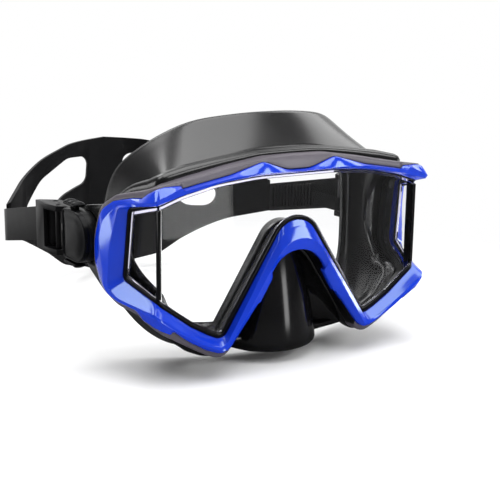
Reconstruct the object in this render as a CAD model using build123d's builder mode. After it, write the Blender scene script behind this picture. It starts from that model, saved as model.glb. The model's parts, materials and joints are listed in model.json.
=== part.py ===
"""Diving mask with its head strap: three glass windows, a rigid frame, a soft skirt and two buckles.

Frame: the origin is the middle of the face opening. -Y is the way the wearer looks, +Z is up and
+X is the wearer's left. Lengths are millimetres. The left half is described, the right mirrors it.
"""

from build123d import *
from math import atan2, cos, degrees, radians, sin, tan
import os

os.makedirs("parts", exist_ok=True)

# ---------------------------------------------------------------- driving sizes
glass_depth = 52.0        # face opening to the outer face of the front pane
pane_half = 67.0          # half width of the front pane, to the corner of the glass
side_turn = 72.0          # degrees that each side pane turns back from the front pane
side_run = 18.4           # window length of a side pane at mid height
glass_thick = 3.2
pane_land = 2.0           # how far each pane reaches under the trim
pane_gap = 0.15           # clearance round and behind each pane in its frame
post_half = 0.5           # black post in the glass corner: land taken from each pane
post_lip = 0.95           # its bead's reach over each pane
post_proud = 0.5          # the bead in front of the glass

trim_proud = 5.5          # trim's outer face in front of the glass
trim_seat = 0.8           # gasket thickness between the glass and the trim
gasket_lip = 1.2          # gasket seen inside the trim's window edge
frame_deep = 6.0          # inner frame behind the glass face
frame_rim = 1.3           # inner frame seen outside the trim
bead_rim = 3.4            # skirt's bead outside the trim's edge
bead_deep = 8.0           # skirt's bead, front to back

skirt_wall = 2.2
seal_wide = 11.0          # width of the lip that lies on the face
cheek_half = 67.0         # half width of the skirt at the temples
brow_rise = 28.0          # how far the middle of the forehead comes forward of the temples
chamber_front = 12.0      # behind the glass face: where the skirt's chamber starts
flare_end = 24.0          # behind the glass face: where the skirt reaches its full outline
nose_front = 0.5          # nose pocket's front wall behind the glass face

pivot_z = 0.5             # axis that both buckles swivel on
swivel_gap = 0.8          # frame's rear end to the buckle in front of the axis
ear_gap = 0.7             # skirt's bead to the inner face of the strap ears
cheek_gap = 5.0           # skirt's cheek to the strap ears, at least
ear_thick = 3.0
pin_radius = 3.0
pin_fit = 0.05            # radial running fit of pins and trunnions
pin_head_radius = 4.6
pin_head_thick = 2.0
buckle_radius = 11.0      # round front end of the buckle
buckle_base = 1.5         # buckle's base plate
buckle_rim = 1.3          # its side wall
buckle_deep = 4.4         # base plate and wall together
buckle_end = 13.0         # square end of the buckle's case, behind the axis
run_gap = 0.3             # gap between bodies that pass each other
cap_rise = 4.6            # dome of the cap above the buckle's case
cap_round = 3.0
cap_wall = 1.6

roller_back = 27.5        # roller's axis behind the swivel axis
roller_radius = 1.9
roller_lean = 3.6         # roller's axis outside the ear's face
trunnion_radius = 1.2
arm_thick = 2.4
bar_back = 26.0           # clip bar's front edge behind the swivel axis
bar_long = 9.0            # clip bar, front to back
bar_thick = 2.0
pawl_back = 18.0          # pawl's axis behind the swivel axis
pawl_lean = 2.9           # and outside the roller's
pawl_radius = 1.3
pawl_pin_radius = 1.0
pawl_thick = 1.6
strap_thick = 2.0
strap_tall = 15.8         # strap at the buckles
strap_back = 139.5        # back of the strap behind the face opening
nape_rise = 22.5          # how far the strap bends forward of that at the sides of the head
tail_end = 81.0           # strap's free end behind the face opening
rib_pitch = 3.0
rib_count = 13
rib_proud = 0.7

button_back = 7.8         # middle of the buttons behind the swivel axis
button_travel = 1.2
button_long = 12.0
button_deep = 5.6
button_tall = 2.8
groove_count = 5
groove_pitch = 2.0
groove_wide = 0.8
groove_deep = 0.6
stem_long = 5.2
stem_thick = 1.9
stem_inner = 5.5          # stem's inner end from the swivel axis
slide_fit = 0.1           # clearance round what slides
spring_rib = 1.0
rib_rise = 2.4
spring_radius = 0.95      # middle of the wire
spring_wire = 0.45
spring_pitch = 1.2

# ---------------------------------------------------------------- the glass surface in plan
turn = radians(side_turn)
front_y = -glass_depth
reach = 90.0                        # further than the mask's own height and width


def wall_point(out, run):
    """Plan point `out` in front of the left side pane's face and `run` behind the glass corner."""
    return (
        pane_half + out * sin(turn) + run * cos(turn),
        front_y - out * cos(turn) + run * sin(turn),
    )


def both(points):
    """The left half of an outline, then its mirror image. A point on the middle plane comes once."""
    other = [(-p[0], *p[1:]) for p in reversed(points) if p[0] != 0]
    return list(points) + other


def rounded(points):
    """A closed outline of (across, up, corner radius) points, in the sketch being built."""
    with BuildLine() as edge:
        FilletPolyline(*[p[:2] for p in points], radius=[p[2] for p in points], close=True)
    make_face(edge.edges())


def corner_point(out):
    """Plan point on the glass corner's mitre line, `out` in front of both panes' faces."""
    return (pane_half + out * tan(turn / 2), front_y - out)


def upright(points):
    """Solid over a plan outline, taller than the mask, in the part being built."""
    with BuildSketch(Plane.XY.offset(-reach)) as plan:
        with BuildLine() as edge:
            Polyline(*points, close=True)
        make_face(edge.edges())
    extrude(plan.sketch, amount=2 * reach)


# the left side pane's own plane: x runs back along the pane, y is up, z points out of the mask
side_plane = Plane(
    origin=(pane_half, front_y, 0), x_dir=(cos(turn), sin(turn), 0), z_dir=(sin(turn), -cos(turn), 0)
)


def front_plane(behind):
    """An upright plane facing forward, `behind` the glass face."""
    return Plane.XZ.offset(glass_depth - behind)


# ---------------------------------------------------------------- outlines of the windows and trim
window_top = 19.9                   # the windows' height above the middle, at the glass corner
window_low = -20.4
past_corner = 6.5                   # the front window's outline runs on past the glass corner


def across(points):
    """Front outline points whose first value is a share of the front pane's half width."""
    return [(share * pane_half, z, r) for share, z, r in points]


window_front = [
    *across([(0.3, window_top + 8.7, 80), (0.66, window_top + 6.6, 60), (0.97, window_top + 0.7, 12)]),
    (pane_half + past_corner, window_top - 0.3, 0), (pane_half + past_corner, window_low + 0.6, 0),
    *across([(1.0, window_low, 4), (0.924, -24.9, 10), (0.784, -32.2, 14), (0.664, -36.9, 20), (0.55, -40.4, 5)]),
    (0, 18.2, 11.5),
]
window_side = [
    (-9.0, window_top, 0), (side_run - 2.1, window_top - 2.4, 3), (side_run + 1.6, -13.2, 3),
    (1.0, window_low, 6), (-9.0, window_low, 0),
]
trim_run = side_run + 15.4          # rear end of the trim along the side pane
trim_front = [
    (0.515 * pane_half, 29.6, 60), (pane_half + 9, 22.6, 0), (pane_half + 9, -29.4, 0),
    *across([(1.0, -30.4, 4), (0.918, -33.4, 0.6), (0.906, -32.0, 0.6), (0.8, -38.0, 20), (0.687, -42.8, 20)]),
    (0.546 * pane_half, -46.4, 7), (0, 10.0, 15),
]
trim_side = [
    (-9.0, 23.6, 0), (4.4, 22.6, 4), (13.0, 20.4, 6), (trim_run - 12.8, 18.7, 6), (trim_run - 3.0, 13.0, 10),
    (trim_run - 0.2, 0, 25), (trim_run - 0.3, -8.0, 12), (trim_run - 3.9, -17.5, 8),
    (trim_run - 11.8, -22.2, 10), (10.4, -24.4, 1), (7.0, -27.9, 1.5), (0, -30.4, 4), (-9.0, -31.0, 0),
]
brow_bump = [
    (-0.5, 30.3, 0), (6.0, 30.3, 12), (18.5, 34.7, 4.5), (0.515 * pane_half, 30.0, 0),
    (0.515 * pane_half, 25.0, 0), (-0.5, 25.0, 0),
]
corner_tab = [
    (pane_half - 9.9, 24.0, 0), (pane_half - 9.8, 27.7, 0.8), (pane_half - 2.5, 27.7, 6),
    (pane_half + 8, 26.2, 0), (pane_half + 8, 20.0, 0),
]
side_tab = [(-9.0, 20.0, 0), (-9.0, 27.6, 0), (0.4, 26.9, 3), (4.1, 25.0, 3), (7.5, 21.9, 1), (7.5, 20.0, 0)]
brow_arch = [
    (-0.5, 36.3, 0), (0.24 * pane_half, 36.1, 30), (0.507 * pane_half, 33.4, 40),
    (0.7 * pane_half, 30.9, 30), (pane_half + 9, 27.0, 0), (pane_half + 9, 20.0, 0), (-0.5, 20.0, 0),
]
frame_heel = [(-9.0, -10.0, 0), (20.0, -10.0, 0), (20.0, -24.2, 4), (11.0, -26.8, 4), (0, -32.4, 6), (-9.0, -34.0, 0)]
bead_heel = [(-9.0, -10.0, 0), (28.0, -10.0, 0), (27.0, -24.0, 4), (12.0, -33.0, 6), (-9.0, -39.0, 0)]
side_arch = [
    (-9.0, 15.0, 0), (-9.0, 28.4, 0), (1.0, 27.6, 8), (7.0, 25.6, 8), (side_run + 2.6, 21.4, 8),
    (side_run + 10.4, 15.0, 0),
]


def front_edge(grow, brow, lift=0.0):
    """Front outline of a layer: the trim's edge grown, plus the shapes that stand on its brow."""
    rounded(both(trim_front))
    if grow:
        offset(amount=grow)
    for shape in brow:
        with BuildSketch(mode=Mode.PRIVATE) as raised:
            rounded([(x, z + lift, r) for x, z, r in shape])
        add(raised.sketch)
        mirror(raised.sketch, about=Plane.YZ)


def side_edge(grow, brow, lift=0.0):
    """Outline of a layer in the side pane's plane: past the corner in front, round at the rear."""
    rounded(trim_side)
    if grow:
        offset(amount=grow)
    for shape in brow:
        with BuildSketch(mode=Mode.PRIVATE) as raised:
            rounded([(x, z + lift, r) for x, z, r in shape])
        add(raised.sketch)


def layer(inner, outer, grow, front_brow, side_brow, lift=0.0):
    """Adds a layer that follows the glass between two offsets: a front, and a flank on each side."""
    with BuildPart(mode=Mode.PRIVATE) as face:
        upright(both([corner_point(outer), corner_point(inner)]))
        with BuildSketch(front_plane(reach)) as front:
            front_edge(grow, front_brow, lift)
        extrude(front.sketch, amount=2 * reach, mode=Mode.INTERSECT)
    with BuildPart(mode=Mode.PRIVATE) as flank:
        rear = trim_run + grow
        upright([corner_point(outer), wall_point(outer, rear), wall_point(inner, rear), corner_point(inner)])
        with BuildSketch(side_plane) as side:
            side_edge(grow, side_brow, lift)
        extrude(side.sketch, amount=2 * reach, both=True, mode=Mode.INTERSECT)
    add(face.part)
    add(flank.part)
    add(mirror(flank.part, about=Plane.YZ, mode=Mode.PRIVATE))


def cut_windows(grow, front_behind, side_from):
    """Cuts the three windows, grown, from in front to `front_behind` and from `side_from` out."""
    with BuildSketch(front_plane(front_behind)) as front:
        rounded(both(window_front))
        if grow:
            offset(amount=grow)
    extrude(front.sketch, amount=reach / 2, mode=Mode.SUBTRACT)
    with BuildSketch(side_plane.offset(side_from)) as side:
        rounded(window_side)
        if grow:
            offset(amount=grow)
    prism = extrude(side.sketch, amount=reach / 2, mode=Mode.PRIVATE)
    add(prism, mode=Mode.SUBTRACT)
    add(mirror(prism, about=Plane.YZ, mode=Mode.PRIVATE), mode=Mode.SUBTRACT)


# ---------------------------------------------------------------- rigid front: trim, frame, glass
made = {}


def finish(builder, name):
    """Labels a finished piece, writes it and keeps it by name."""
    builder.part.label = name
    export_step(builder.part, f"parts/{name}.step")
    made[name] = builder.part


def mirrored(source, name):
    """The wearer's right hand copy of a left piece."""
    with BuildPart() as copy:
        add(mirror(made[source], about=Plane.YZ, mode=Mode.PRIVATE))
    finish(copy, name)


with BuildPart() as frame_trim:
    layer(trim_seat, trim_proud, 0, (brow_bump, corner_tab), (side_tab,))
    cut_windows(0, 0.5, 0)
finish(frame_trim, "frame_trim")

with BuildPart() as inner_frame:
    layer(-frame_deep, trim_seat - 0.1, frame_rim, (brow_arch,), (side_arch, frame_heel))
    cut_windows(0.2, frame_deep + 1, -frame_deep - 1)
    cut_windows(pane_land + pane_gap, glass_thick + pane_gap, -glass_thick - pane_gap)
finish(inner_frame, "inner_frame")

# the panes are mitred where they meet, and a thin black post bonds each pair of edges
mitre = glass_thick * tan(turn / 2)
joint_back = pane_half - post_half - mitre


with BuildPart() as front_glass:
    upright(both([(pane_half - post_half, front_y), (joint_back, front_y + glass_thick)]))
    with BuildSketch(front_plane(reach)):
        rounded(both(window_front))
        offset(amount=pane_land)
    extrude(amount=2 * reach, mode=Mode.INTERSECT)
finish(front_glass, "front_glass")

with BuildPart() as left_side_glass:
    upright([
        wall_point(0, post_half), wall_point(0, reach / 2),
        wall_point(-glass_thick, reach / 2), wall_point(-glass_thick, post_half + mitre),
    ])
    with BuildSketch(side_plane):
        rounded(window_side)
        offset(amount=pane_land)
    extrude(amount=reach, both=True, mode=Mode.INTERSECT)
finish(left_side_glass, "left_side_glass")
mirrored("left_side_glass", "right_side_glass")

with BuildPart() as left_lens_post:
    upright([
        (pane_half - post_half, front_y), (pane_half - post_lip, front_y),
        (pane_half - post_lip, front_y - post_proud),
        (pane_half + post_proud * tan(turn / 2), front_y - post_proud),
        wall_point(post_proud, post_lip), wall_point(0, post_lip), wall_point(0, post_half),
        wall_point(-glass_thick, post_half + mitre), (joint_back, front_y + glass_thick),
    ])
    with BuildSketch(front_plane(reach)) as post_front:
        with Locations((pane_half, (window_top + window_low) / 2)):
            Rectangle(reach / 4, window_top - window_low - 2 * gasket_lip - 1.0)
    extrude(post_front.sketch, amount=2 * reach, mode=Mode.INTERSECT)
finish(left_lens_post, "left_lens_post")
mirrored("left_lens_post", "right_lens_post")

# thin black seal between the panes and the trim, its lip seen inside the trim's window edge
seal_back, seal_front = 0.05, trim_seat - 0.15
with BuildPart() as pane_room:
    with BuildSketch(front_plane(1)):
        rounded(both(window_front))
        offset(amount=pane_land - 0.1)
    extrude(amount=trim_proud)
    with BuildSketch(side_plane.offset(-1)):
        rounded(window_side)
        offset(amount=pane_land - 0.1)
    extrude(amount=trim_proud)
    mirror(about=Plane.YZ)
with BuildPart() as lens_gasket:
    rim = [corner_point(seal_front), wall_point(seal_front, reach), wall_point(seal_back, reach)]
    upright(both([*rim, corner_point(seal_back)]))
    add(pane_room.part, mode=Mode.INTERSECT)
    cut_windows(-gasket_lip, 0.5, -0.5)
finish(lens_gasket, "lens_gasket")

# ---------------------------------------------------------------- soft skirt
head_radius = (cheek_half**2 + brow_rise**2) / (2 * brow_rise)
flange_edge = [
    (11.0, 53.2, 30), (36.0, 49.6, 25), (53.0, 40.0, 18), (cheek_half - 2.5, 27.0, 18), (cheek_half, 0.0, 60),
    (cheek_half, -22.0, 12), (53.0, -41.0, 20), (42.0, -49.6, 8), (20.0, -51.5, 20),
]
chamber_edge = [
    (11.0, 37.0, 30), (36.0, 34.5, 25), (51.0, 31.0, 18), (60.0, 27.5, 12), (62.0, 0.0, 60),
    (62.0, -18.0, 12), (53.0, -33.0, 20), (40.0, -47.5, 8), (20.0, -49.0, 20),
]
nose_edge = [(0, -3.4, 6.5), (14.5, -24.0, 20), (21.0, -50.4, 5)]
nose_curve = 22.0         # radius of the pocket's front in plan


def nose_volume(shrink):
    """The nose pocket: a wedge seen from in front, with a round front in plan."""
    with BuildPart() as volume:
        with BuildSketch(front_plane(flare_end)) as wedge:
            rounded(both(nose_edge))
            offset(amount=-shrink) if shrink else None
        extrude(wedge.sketch, amount=flare_end - nose_front - shrink)
        with Locations((0, front_y + nose_front + nose_curve, 0)):
            Cylinder(nose_curve - shrink, 2 * reach, mode=Mode.INTERSECT)
    return volume.part


def skirt_chamber(shrink, front, rear):
    """The chamber's volume: flares from the windows out to the full outline, then runs back."""
    with BuildPart() as volume:
        with BuildSketch(front_plane(front)):
            rounded(both(chamber_edge))
            offset(amount=-shrink) if shrink else None
        with BuildSketch(front_plane(flare_end)):
            rounded(both(flange_edge))
            offset(amount=-shrink) if shrink else None
        loft(ruled=True)
        with BuildSketch(front_plane(rear)) as run:
            rounded(both(flange_edge))
            offset(amount=-shrink) if shrink else None
        extrude(run.sketch, amount=rear - flare_end)
    return volume.part


def head_volume(inset):
    """Upright cylinder that stands for the curve of the face, `inset` into the head."""
    with BuildPart(Plane.XY.offset(-reach)) as head:
        with Locations((0, head_radius - brow_rise)):
            Cylinder(head_radius - inset, 2 * reach, align=(Align.CENTER, Align.CENTER, Align.MIN))
    return head.part


with BuildPart() as frame_room:
    layer(-frame_deep, trim_proud, frame_rim, (brow_arch,), (side_arch, frame_heel))


# one soft moulding: bead behind the frame, flared wall, lip on the face and pocket for the nose
with BuildPart() as moulding:
    layer(-frame_deep - bead_deep, -frame_deep, bead_rim, (brow_arch,), (side_arch, bead_heel), lift=2.4)
    add(skirt_chamber(0, chamber_front, glass_depth + 1))
    add(nose_volume(0))
    # hollow: chamber, nose pocket and the way through to the windows
    add(skirt_chamber(skirt_wall, chamber_front + skirt_wall, glass_depth + 2), mode=Mode.SUBTRACT)
    cut_windows(gasket_lip, chamber_front + 2 * skirt_wall, -frame_deep - 2 * bead_deep)
    add(nose_volume(skirt_wall), mode=Mode.SUBTRACT)
    add(head_volume(0), mode=Mode.SUBTRACT)
    add(frame_room.part, mode=Mode.SUBTRACT)
with BuildPart() as face_lip:
    with BuildSketch(front_plane(glass_depth + 1)):
        rounded(both(flange_edge))
        offset(amount=-skirt_wall / 2)
    extrude(amount=glass_depth)
    with BuildSketch(front_plane(glass_depth + 1)):
        rounded(both(flange_edge))
        offset(amount=-seal_wide)
    extrude(amount=glass_depth, mode=Mode.SUBTRACT)
    add(head_volume(0), mode=Mode.SUBTRACT)
    add(head_volume(-skirt_wall), mode=Mode.INTERSECT)
with moulding:
    add(face_lip.part)
with BuildPart() as skirt:
    add(max(moulding.part.solids(), key=lambda solid: solid.volume))
finish(skirt, "skirt")

# ---------------------------------------------------------------- strap ears and swivel pins
bead_x = wall_point(-frame_deep, trim_run + bead_rim)[0]
ear_out = max(bead_x, cheek_half + cheek_gap) + ear_gap + ear_thick
frame_end = wall_point(trim_seat - 0.1, trim_run + frame_rim)[1]
pivot_y = frame_end + swivel_gap + buckle_radius


def beside(x):
    """Upright plane at `x`, seen from the left: its x runs back from the swivel axis, its y up."""
    return Plane(origin=(x, pivot_y, pivot_z), x_dir=(0, 1, 0), z_dir=(1, 0, 0))


def level(height):
    """Level plane `height` above the swivel axis: x from the middle of the mask, y back from the axis."""
    return Plane(origin=(0, pivot_y, pivot_z + height))


ear_edge = [
    (-22.5, 23.0, 0), (2.5, 13.0, 4), (6.5, 10.0, 4), (6.5, -8.5, 5), (2.5, -13.5, 5), (-13.5, -21.0, 3),
    (-22.5, -21.5, 0),
]
with BuildPart() as left_strap_ear:
    with BuildSketch(beside(ear_out - ear_thick)):
        rounded(ear_edge)
        Circle(pin_radius, mode=Mode.SUBTRACT)
    extrude(amount=ear_thick)
    add(frame_room.part, mode=Mode.SUBTRACT)
finish(left_strap_ear, "left_strap_ear")
mirrored("left_strap_ear", "right_strap_ear")

base_x = ear_out + run_gap          # inner face of the buckle
floor_x = base_x + buckle_base      # floor of its case
case_x = base_x + buckle_deep       # mouth of its case, where the cap sits
head_x = floor_x + slide_fit
with BuildPart() as left_pivot_pin:
    with BuildSketch(beside(ear_out - ear_thick)) as shank:
        Circle(pin_radius)
    extrude(shank.sketch, amount=head_x - ear_out + ear_thick)
    with BuildSketch(beside(head_x)) as head:
        Circle(pin_head_radius)
    extrude(head.sketch, amount=pin_head_thick)
finish(left_pivot_pin, "left_pivot_pin")
mirrored("left_pivot_pin", "right_pivot_pin")

# ---------------------------------------------------------------- quick release buckles
roller_x = ear_out + roller_lean
loop_radius = roller_radius + run_gap + strap_thick / 2     # strap's mid line round the roller
tail_x = roller_x - loop_radius                             # strap's free end, inside
strap_x = roller_x + loop_radius                            # strap's straight run, outside
bar_x = strap_x + strap_thick / 2 + run_gap
bar_end = bar_back + bar_long
pawl_x = roller_x + pawl_lean
arm_inner = buckle_radius - arm_thick
wall_inner = buckle_end - buckle_rim
head_inner = buckle_radius + button_travel + run_gap
stem_x = floor_x + run_gap + stem_thick / 2
stem_reach = head_inner - stem_inner


def case_outline(inset):
    """The buckle's outline seen from the side: round in front, square behind."""
    Circle(buckle_radius - inset)
    with Locations(((buckle_end - inset) / 2, 0)):
        Rectangle(buckle_end - inset, 2 * (buckle_radius - inset))


with BuildPart() as left_buckle_body:
    with BuildSketch(beside(base_x)) as case:
        case_outline(0)
    extrude(case.sketch, amount=buckle_deep)
    with BuildSketch(beside(floor_x)) as hollow:
        case_outline(buckle_rim)
    extrude(hollow.sketch, amount=buckle_deep, mode=Mode.SUBTRACT)
    with BuildSketch(beside(base_x)) as bore:
        Circle(pin_radius + pin_fit)
    extrude(bore.sketch, amount=buckle_base, mode=Mode.SUBTRACT)
    # two arms that carry the roller and the pawl, and the clip bar that the strap runs under
    for low in (-buckle_radius, arm_inner):
        with BuildSketch(level(low)) as arm:
            with BuildLine() as edge:
                Polyline(
                    (base_x, wall_inner), (case_x, wall_inner), (case_x, buckle_end),
                    (pawl_x + 2, pawl_back - 2), (bar_x + bar_thick, bar_back - 3),
                    (bar_x + bar_thick, bar_end), (bar_x, bar_end),
                    (roller_x - 0.5, roller_back + 4), (base_x, roller_back + 1.5), close=True,
                )
            make_face(edge.edges())
            with Locations((roller_x, roller_back)):
                Circle(trunnion_radius + pin_fit, mode=Mode.SUBTRACT)
            with Locations((pawl_x, pawl_back)):
                Circle(pawl_pin_radius + pin_fit, mode=Mode.SUBTRACT)
        extrude(arm.sketch, amount=arm_thick)
    with BuildSketch(level(-buckle_radius)) as clip:
        with Locations((bar_x + bar_thick / 2, (bar_back + bar_end) / 2)):
            Rectangle(bar_thick, bar_long)
    extrude(clip.sketch, amount=2 * buckle_radius)
    # windows for the buttons' stems, and the rib that their springs push on
    with Locations((stem_x, pivot_y + button_back, pivot_z)):
        Box(stem_thick + 2 * slide_fit, stem_long + 2 * slide_fit, 2 * buckle_radius + 1, mode=Mode.SUBTRACT)
    with Locations((floor_x, pivot_y + button_back, pivot_z)):
        Box(rib_rise, stem_long, spring_rib, align=(Align.MIN, Align.CENTER, Align.CENTER))
finish(left_buckle_body, "left_buckle_body")
mirrored("left_buckle_body", "right_buckle_body")

with BuildPart() as left_buckle_cap:
    with BuildSketch(beside(case_x)) as dome:
        case_outline(0)
    extrude(dome.sketch, amount=cap_rise)
    fillet(left_buckle_cap.faces().sort_by(Axis.X)[-1].edges(), radius=cap_round)
    with BuildSketch(beside(case_x)) as hollow:
        case_outline(cap_round)
    extrude(hollow.sketch, amount=cap_rise - cap_wall, mode=Mode.SUBTRACT)
finish(left_buckle_cap, "left_buckle_cap")
mirrored("left_buckle_cap", "right_buckle_cap")

with BuildPart() as left_strap_roller:
    for radius, half in ((roller_radius, arm_inner - run_gap), (trunnion_radius, buckle_radius - run_gap)):
        with Locations((roller_x, pivot_y + roller_back, pivot_z)):
            Cylinder(radius, 2 * half)
finish(left_strap_roller, "left_strap_roller")
mirrored("left_strap_roller", "right_strap_roller")

# the pawl points at the roller's axis, so its tooth clears the strap at every angle
pawl_gap = (pawl_lean**2 + (roller_back - pawl_back) ** 2) ** 0.5
pawl_long = pawl_gap - loop_radius - strap_thick / 2 - run_gap
pawl_angle = degrees(atan2(pawl_lean, roller_back - pawl_back))
with BuildPart() as left_strap_pawl:
    with Locations((pawl_x, pivot_y + pawl_back, pivot_z)):
        for radius, half in ((pawl_radius, arm_inner - run_gap), (pawl_pin_radius, buckle_radius - run_gap)):
            Cylinder(radius, 2 * half)
    with Locations(Location((pawl_x, pivot_y + pawl_back, pivot_z), (0, 0, pawl_angle))):
        Box(
            pawl_thick, pawl_long, 2 * (arm_inner - run_gap),
            align=(Align.CENTER, Align.MIN, Align.CENTER),
        )
finish(left_strap_pawl, "left_strap_pawl")
mirrored("left_strap_pawl", "right_strap_pawl")

for name, way in (("upper", 1), ("lower", -1)):
    with BuildPart() as button:
        with BuildSketch(level(way * head_inner)) as head:
            with Locations((base_x + run_gap + button_deep / 2, button_back)):
                RectangleRounded(button_deep, button_long, 1)
        extrude(head.sketch, amount=way * button_tall)
        with BuildSketch(level(way * (head_inner + button_tall))) as grip:
            with Locations((base_x + run_gap + button_deep / 2, button_back)):
                with GridLocations(0, groove_pitch, 1, groove_count):
                    Rectangle(button_deep, groove_wide)
        extrude(grip.sketch, amount=-way * groove_deep, mode=Mode.SUBTRACT)
        with BuildSketch(level(way * stem_inner)) as stem:
            with Locations((stem_x, button_back)):
                Rectangle(stem_thick, stem_long)
        extrude(stem.sketch, amount=way * stem_reach)
    finish(button, f"left_{name}_button")
    mirrored(f"left_{name}_button", f"right_{name}_button")

    with BuildPart() as spring:
        foot = way * (spring_rib + spring_wire) / 2
        with BuildLine() as coil:
            Helix(
                spring_pitch, stem_inner - abs(foot) - spring_wire / 2, spring_radius,
                center=(stem_x, pivot_y + button_back, pivot_z + foot), direction=(0, 0, way),
            )
        with BuildSketch(Plane(origin=coil.line @ 0, z_dir=coil.line % 0)) as wire:
            Circle(spring_wire / 2)
        sweep(wire.sketch, path=coil.line)
    finish(spring, f"left_{name}_spring")
    mirrored(f"left_{name}_spring", f"right_{name}_spring")

# ---------------------------------------------------------------- head strap
loop_y = pivot_y + roller_back - loop_radius                # front of the loop round the roller
strap_route = [
    (tail_x, tail_end, 0), (tail_x, loop_y, loop_radius - 0.01), (strap_x, loop_y, loop_radius - 0.01),
    (strap_x, 78.0, 25), (57.0, strap_back - nape_rise, 60), (14.0, strap_back, 30),
]
clip_end = pivot_y + bar_end
strap_slope = 0.2                                           # fall of the strap behind the buckle
strap_beside = 80.0                                         # further out the side outline rules
strap_front = [
    (0, 22.3, 0), (24.0, 20.0, 30), (43.0, 15.0, 60), (66.0, 4.0, 30), (strap_beside, -1.5, 0),
    (strap_beside, reach, 0), (2 * reach, reach, 0), (2 * reach, -reach, 0), (strap_beside, -reach, 0),
    (strap_beside, -17.5, 0), (63.5, -25.0, 60), (52.0, -32.0, 40), (41.0, -39.0, 15), (30.0, -47.7, 15),
    (18.0, -51.0, 25), (0, -57.0, 10),
]
strap_hole = [
    (10.5, 12.0, 5), (26.0, 12.5, 12), (46.0, 3.5, 20), (60.0, -10.0, 6), (57.0, -19.0, 6),
    (45.0, -19.0, 10), (30.0, -8.0, 20), (12.0, -3.0, 6),
]
with BuildPart() as strap:
    with BuildSketch(Plane.XY.offset(-reach)) as band:
        with BuildLine() as route:
            FilletPolyline(
                *[p[:2] for p in both(strap_route)], radius=[p[2] for p in both(strap_route)][1:-1]
            )
            offset(amount=strap_thick / 2, side=Side.BOTH, mode=Mode.REPLACE)
        make_face(route.edges())
    extrude(band.sketch, amount=2 * reach)
    with BuildSketch(Plane.YZ.offset(-2 * reach)) as beside_head:
        half_tall = strap_tall / 2
        far = 3 * reach
        with BuildLine() as edge:
            Polyline(
                (0, pivot_z + half_tall), (clip_end, pivot_z + half_tall),
                (tail_end + 5, pivot_z + half_tall - strap_slope * (tail_end + 5 - clip_end)),
                (tail_end + 5, reach), (far, reach), (far, -reach), (tail_end + 5, -reach),
                (tail_end + 5, pivot_z - half_tall - strap_slope * (tail_end + 5 - clip_end)),
                (clip_end, pivot_z - half_tall), (0, pivot_z - half_tall), close=True,
            )
        make_face(edge.edges())
    extrude(beside_head.sketch, amount=4 * reach, mode=Mode.INTERSECT)
    with BuildSketch(Plane.XZ) as behind_head:
        rounded(both(strap_front))
        with BuildSketch(mode=Mode.PRIVATE) as hole:
            rounded(strap_hole)
        add(hole.sketch, mode=Mode.SUBTRACT)
        mirror(hole.sketch, about=Plane.YZ, mode=Mode.SUBTRACT)
    extrude(behind_head.sketch, amount=-2 * reach, mode=Mode.INTERSECT)
    for side in (-1, 1):
        for step in range(rib_count):
            rib_y = tail_end - rib_pitch * (step + 1)
            with Locations((
                side * (tail_x - strap_thick / 2 - rib_proud / 2), rib_y,
                pivot_z - strap_slope * max(rib_y - clip_end, 0),
            )):
                Box(rib_proud, rib_pitch / 2, strap_tall - 4)
finish(strap, "strap")
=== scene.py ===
import json
from math import atan2, cos, hypot, pi, radians, sin, tan

import bmesh
import bpy
from mathutils import Matrix, Vector

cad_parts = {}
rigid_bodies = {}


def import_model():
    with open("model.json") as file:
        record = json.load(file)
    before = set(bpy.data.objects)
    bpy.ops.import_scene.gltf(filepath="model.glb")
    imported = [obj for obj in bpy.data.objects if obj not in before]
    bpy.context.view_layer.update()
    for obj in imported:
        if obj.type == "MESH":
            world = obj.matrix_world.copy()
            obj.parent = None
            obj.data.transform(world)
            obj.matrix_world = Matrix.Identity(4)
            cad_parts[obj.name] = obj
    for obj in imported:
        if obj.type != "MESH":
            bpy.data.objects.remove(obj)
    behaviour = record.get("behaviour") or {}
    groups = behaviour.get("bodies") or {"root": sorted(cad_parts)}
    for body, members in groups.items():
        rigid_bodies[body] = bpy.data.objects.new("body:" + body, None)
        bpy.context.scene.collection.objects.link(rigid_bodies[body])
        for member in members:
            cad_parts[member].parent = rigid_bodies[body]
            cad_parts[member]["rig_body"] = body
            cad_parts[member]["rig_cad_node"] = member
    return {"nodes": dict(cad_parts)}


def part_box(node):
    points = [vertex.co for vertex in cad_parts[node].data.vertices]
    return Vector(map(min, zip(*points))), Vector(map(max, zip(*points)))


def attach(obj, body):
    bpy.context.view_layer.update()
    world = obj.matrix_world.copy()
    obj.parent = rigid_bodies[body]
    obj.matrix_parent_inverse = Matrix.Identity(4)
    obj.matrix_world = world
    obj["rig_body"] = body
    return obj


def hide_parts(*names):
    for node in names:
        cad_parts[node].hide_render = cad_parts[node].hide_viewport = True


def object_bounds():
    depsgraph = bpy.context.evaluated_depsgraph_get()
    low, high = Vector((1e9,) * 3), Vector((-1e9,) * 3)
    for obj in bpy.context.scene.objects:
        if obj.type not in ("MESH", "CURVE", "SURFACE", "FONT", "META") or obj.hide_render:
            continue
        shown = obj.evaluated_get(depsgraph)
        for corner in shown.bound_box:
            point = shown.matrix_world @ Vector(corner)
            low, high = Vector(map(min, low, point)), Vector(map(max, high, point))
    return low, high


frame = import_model()
cad_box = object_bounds()
MM = 0.001

# ---------------------------------------------------------------- the glass surface, in millimetres
# u runs along the panes from the middle to the side, z is up, and n stands out of the glass.
pane_low, pane_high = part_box("front_glass")
POST = 0.5                                # from the edge of the front pane to the corner of the glass
CORNER = pane_high.x / MM + POST          # u at that corner
FRONT = pane_low.y / MM                   # y of the front pane's face
TURN = radians(72)                        # how far a side pane is turned back
SLANT = tan(TURN / 2)                     # how far the corner runs out for each mm of n
BLEND_FRONT, BLEND_SIDE = 17.0, 12.0      # the lengths of u over which that is spread
ROUND, SKIRT_ROUND = 2.2, 5.0             # half the length of u that the corner's curve takes


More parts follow.
